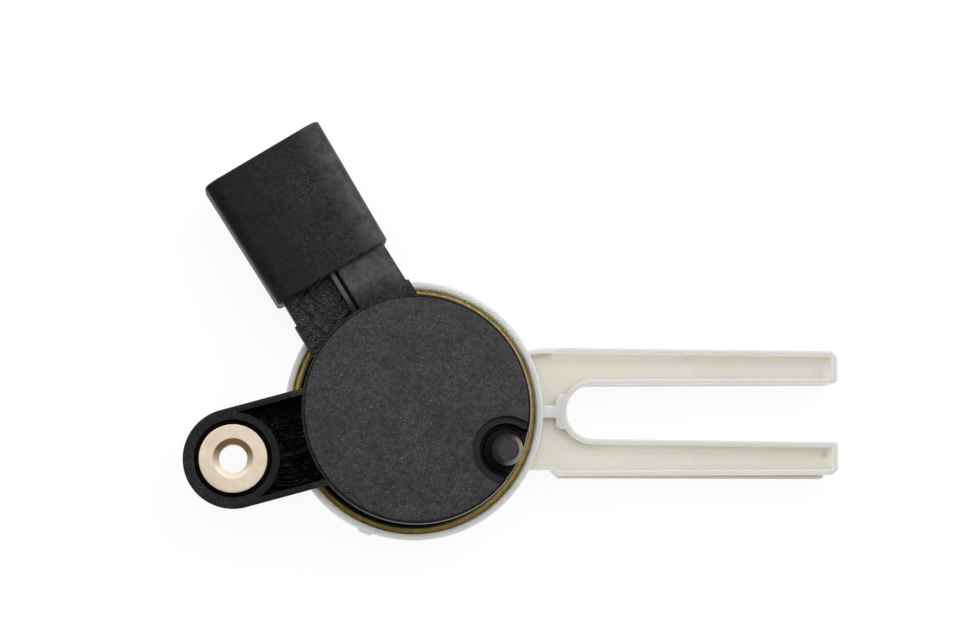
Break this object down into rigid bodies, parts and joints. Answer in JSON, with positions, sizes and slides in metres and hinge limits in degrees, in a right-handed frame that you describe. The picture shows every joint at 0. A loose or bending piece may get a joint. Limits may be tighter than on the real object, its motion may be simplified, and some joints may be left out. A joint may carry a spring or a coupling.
{
  "type": "brake pedal position sensor",
  "caption": "Rotary pedal position sensor: black drum with a side connector, a bushed mounting ear and a locating peg, over a sprung off-white lever with a slotted fork.",
  "frame": {"origin": "where the lever's swing axis meets the flat front face, which goes against the pedal bracket", "axes": "+Z out of the front face towards the bracket, +X along the fork away from the drum at rest, +Y towards the connector's side"},
  "size_m": [0.1272, 0.0801, 0.021],
  "materials": {
    "housing": "fine-textured black moulding",
    "cover": "fine-textured black moulding",
    "seal": "cured silicone bead",
    "bush": "turned steel with a pale yellow zinc finish",
    "lever": "natural off-white moulding, slightly translucent",
    "spring": "spring wire with a yellow-brown finish",
    "magnet": "moulded ferrite",
    "steel": "plain steel",
    "washer": "low-friction polymer",
    "board": "green solder mask",
    "chip": "black moulded package",
    "capacitor": "tan ceramic",
    "contact": "tin-plated brass"
  },
  "bodies": {
    "sensor_body": {"housing": "housing", "front_cover": "cover", "cover_seal": "seal", "mounting_bush": "bush", "return_spring": "spring", "pivot_pin": "steel", "thrust_washer": "washer", "retaining_clip": "steel", "circuit_board": "board", "hall_chip_1": "chip", "hall_chip_2": "chip", "capacitor_1": "capacitor", "capacitor_2": "capacitor", "capacitor_3": "capacitor", "contact_blade_1": "contact", "contact_blade_2": "contact", "contact_blade_3": "contact"},
    "lever": {"fork_lever": "lever", "ring_magnet": "magnet", "flux_ring": "steel"}
  },
  "joints": [
    {"name": "lever_swing", "type": "hinge", "parent": "sensor_body", "child": "lever", "pos_m": [0, 0, 0], "axis": [0, 0, -1], "range_deg": [0, 45], "stiffness_Nm_per_rad": 0.05, "springref_deg": -57.3, "deforming": ["return_spring"]}
  ]
}
